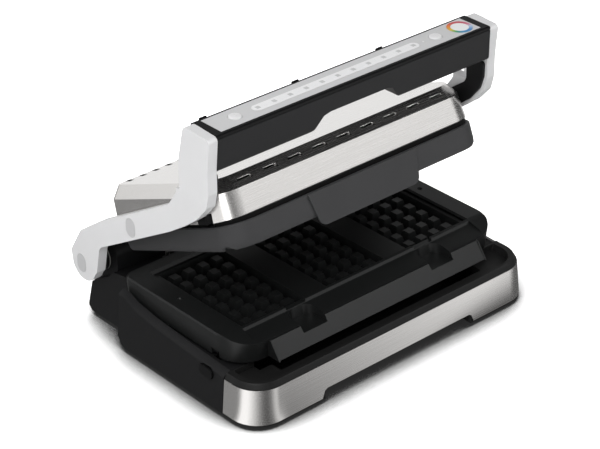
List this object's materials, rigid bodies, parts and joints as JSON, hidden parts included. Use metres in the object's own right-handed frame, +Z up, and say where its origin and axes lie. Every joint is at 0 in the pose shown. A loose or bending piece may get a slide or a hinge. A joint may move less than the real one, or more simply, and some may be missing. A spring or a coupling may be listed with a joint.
{
  "type": "waffle maker",
  "caption": "Waffle maker with a hinged floating lid on L-shaped arms, a control handle, lift-out waffle plates and a pull-out drip tray.",
  "frame": {"origin": "bottom centre of the bounding box, on the table", "axes": "+Z up, -Y toward the user (front, handle side), +X to the user's right"},
  "size_m": [0.424, 0.3166, 0.3234],
  "materials": {
    "black_plastic": "fine satin texture",
    "gloss_black": "gloss",
    "grey_plastic": "satin",
    "gasket_black": "matte",
    "silver_plastic": "silver satin lacquer",
    "panel_silver": "satin",
    "window_white": "gloss",
    "ring_light": "gloss",
    "steel": "brushed",
    "cast_plate": "dark non-stick coating",
    "sheet_steel": "bright sheet",
    "heater_steel": "oxidised",
    "ceramic": "ceramic white",
    "rubber": "matt",
    "bush_grey": "acetal",
    "screw_steel": "zinc plated",
    "board_green": "solder mask"
  },
  "bodies": {
    "base": {"base_pan": "black_plastic", "base_housing": "black_plastic", "hinge_housing": "black_plastic", "rubber_feet": "rubber", "base_screws": "screw_steel", "lower_reflector": "sheet_steel", "lower_heater": "heater_steel", "lower_heater_clips": "sheet_steel", "lower_sensor": "ceramic", "power_board": "board_green", "cord_inlet": "black_plastic", "hinge_bushes": "bush_grey", "plate_clips": "sheet_steel"},
    "drip_tray": {"tray_body": "black_plastic", "tray_fascia": "steel"},
    "lower_plate": {"lower_plate": "cast_plate"},
    "lower_release": {"lower_release_button": "black_plastic", "lower_latch": "sheet_steel"},
    "arms": {"left_arm": "silver_plastic", "right_arm": "silver_plastic", "left_arm_cover": "black_plastic", "right_arm_cover": "black_plastic", "hinge_tube": "black_plastic", "hinge_collars": "black_plastic", "hinge_caps": "silver_plastic", "lid_pivot_pins": "sheet_steel", "lid_pivot_caps": "silver_plastic", "handle_body": "black_plastic", "handle_bezel": "gloss_black", "control_panel": "panel_silver", "program_strip": "window_white", "ring_indicator": "ring_light", "ring_lens": "window_white", "status_lamp": "window_white", "display_board": "board_green"},
    "power_button": {"power_button": "panel_silver"},
    "ok_button": {"ok_button": "panel_silver"},
    "lid": {"lid_cover": "steel", "lid_frame": "grey_plastic", "lid_flap": "grey_plastic", "lid_spacer": "gasket_black", "upper_reflector": "sheet_steel", "upper_heater": "heater_steel", "upper_heater_clips": "sheet_steel", "upper_sensor": "ceramic", "pivot_brackets": "sheet_steel", "lid_screws": "screw_steel"},
    "upper_release": {"upper_release_button": "black_plastic", "upper_latch": "sheet_steel"},
    "upper_plate": {"upper_plate": "cast_plate"}
  },
  "joints": [
    {"name": "tray_slide", "type": "slide", "parent": "base", "child": "drip_tray", "axis": [0, -1, 0], "range_m": [0, 0.14]},
    {"name": "plate_lift", "type": "slide", "parent": "base", "child": "lower_plate", "axis": [0, 0, 1], "range_m": [0, 0.012]},
    {"name": "lower_release_press", "type": "slide", "parent": "base", "child": "lower_release", "axis": [1, 0, 0], "range_m": [0, 0.003], "stiffness_N_per_m": 800, "springref_m": -0.002},
    {"name": "main_hinge", "type": "hinge", "parent": "base", "child": "arms", "pos_m": [0, 0.135, 0.084], "axis": [-1, 0, 0], "range_deg": [-23, 67]},
    {"name": "lid_float", "type": "hinge", "parent": "arms", "child": "lid", "pos_m": [0, 0.04661, 0.16497], "axis": [1, 0, 0], "range_deg": [0, 4]},
    {"name": "power_press", "type": "slide", "parent": "arms", "child": "power_button", "axis": [0, 0, -1], "range_m": [0, 0.0008], "stiffness_N_per_m": 1500, "springref_m": -0.0006},
    {"name": "ok_press", "type": "slide", "parent": "arms", "child": "ok_button", "axis": [0, 0, -1], "range_m": [0, 0.0008], "stiffness_N_per_m": 1500, "springref_m": -0.0006},
    {"name": "upper_release_press", "type": "slide", "parent": "lid", "child": "upper_release", "axis": [1, 0, 0], "range_m": [0, 0.003], "stiffness_N_per_m": 800, "springref_m": -0.002},
    {"name": "upper_plate_drop", "type": "slide", "parent": "lid", "child": "upper_plate", "axis": [0, -0.3907, -0.9205], "range_m": [0, 0.01]}
  ]
}
